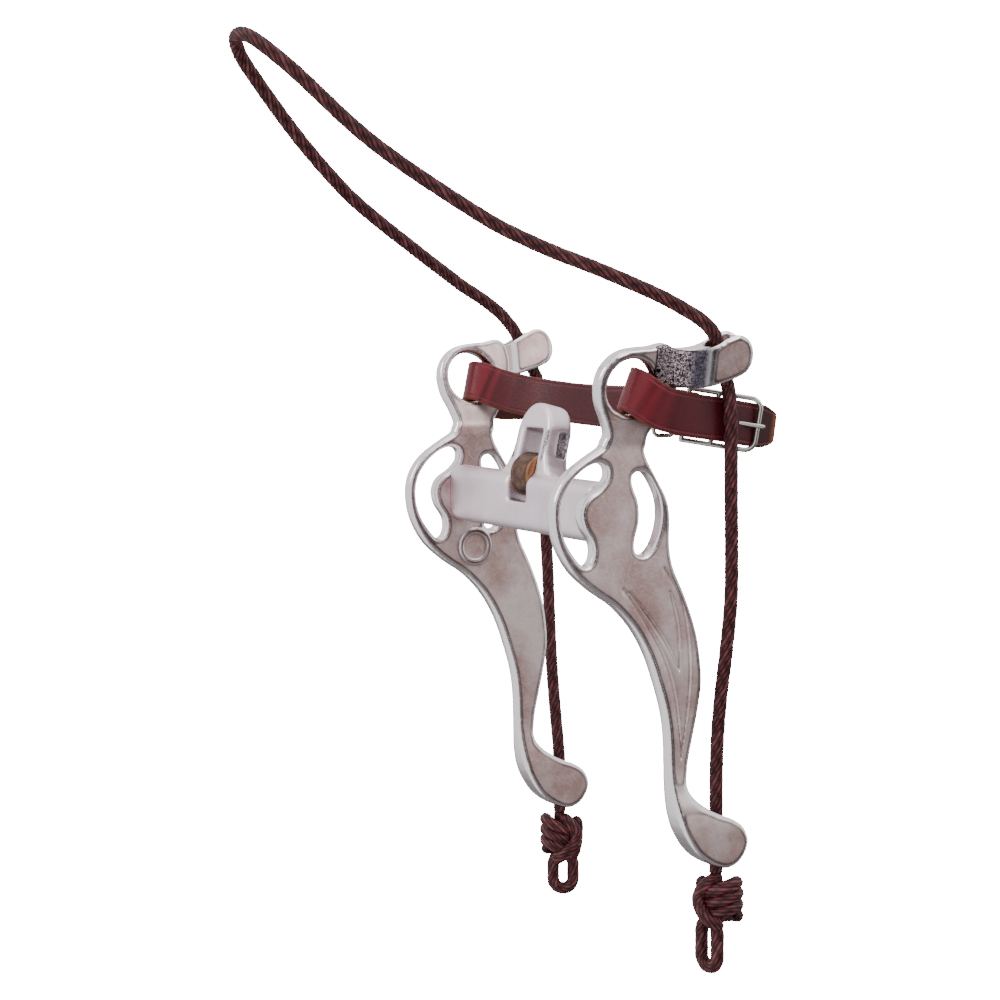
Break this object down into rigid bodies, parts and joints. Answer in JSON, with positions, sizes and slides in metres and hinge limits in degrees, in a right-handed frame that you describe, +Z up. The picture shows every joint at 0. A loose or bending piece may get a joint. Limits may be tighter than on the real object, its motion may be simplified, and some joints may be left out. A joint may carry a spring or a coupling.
{
  "type": "western rope gag bit",
  "caption": "Cast western lifter bit: S-shaped cheeks with slots and leaning rings, ported bar with copper roller, sliding rope headstall with knotted rein loops, leather curb strap.",
  "frame": {"origin": "middle of the mouthpiece bar, between the two cheeks", "axes": "+X to the horse's left, +Y back along the jaw, +Z up the cheeks towards the rings"},
  "size_m": [0.1792, 0.2157, 0.3993],
  "materials": {
    "cast_cheek": "tumbled sand casting with polished rims, lightly tarnished",
    "cast_mouthpiece": "satin cast",
    "copper": "worn copper with brown patina",
    "axle_steel": "plain",
    "rope": "braided nylon cord",
    "strap_leather": "oiled latigo, creased edges",
    "buckle_nickel": "nickel plated wire"
  },
  "bodies": {
    "bit": {"cheek_left": "cast_cheek", "cheek_right": "cast_cheek", "mouthpiece": "cast_mouthpiece", "roller_axle": "axle_steel", "headstall_rope": "rope", "rope_run_left": "rope", "rope_run_right": "rope"},
    "roller": {"roller": "copper"},
    "left_rein_end": {"knot_left": "rope", "rein_loop_left": "rope"},
    "right_rein_end": {"knot_right": "rope", "rein_loop_right": "rope"},
    "strap": {"curb_strap": "strap_leather", "buckle_frame": "buckle_nickel", "fold_rivets": "buckle_nickel"},
    "tongue": {"buckle_tongue": "buckle_nickel"},
    "keeper": {"strap_keeper": "buckle_nickel"}
  },
  "joints": [
    {"name": "roller_spin", "type": "hinge", "parent": "bit", "child": "roller", "pos_m": [0, 0.00428, 0.01184], "axis": [1, 0, 0], "continuous": true},
    {"name": "left_rope_slide", "type": "slide", "parent": "bit", "child": "left_rein_end", "axis": [0, 0, -1], "range_m": [0, 0.03], "deforming": ["rope_run_left"]},
    {"name": "right_rope_slide", "type": "slide", "parent": "bit", "child": "right_rein_end", "axis": [0, 0, -1], "range_m": [0, 0.03], "deforming": ["rope_run_right"]},
    {"name": "strap_swing", "type": "hinge", "parent": "bit", "child": "strap", "pos_m": [0, 0.023, 0.05], "axis": [-1, 0, 0], "range_deg": [0, 10]},
    {"name": "tongue_swing", "type": "hinge", "parent": "strap", "child": "tongue", "pos_m": [0.07003, 0.05013, 0.03834], "axis": [-0.0726, -0.1463, -0.9866], "range_deg": [0, 16]},
    {"name": "keeper_slide", "type": "slide", "parent": "strap", "child": "keeper", "axis": [0.9799, -0.1994, 0], "range_m": [-0.002, 0.003]}
  ]
}
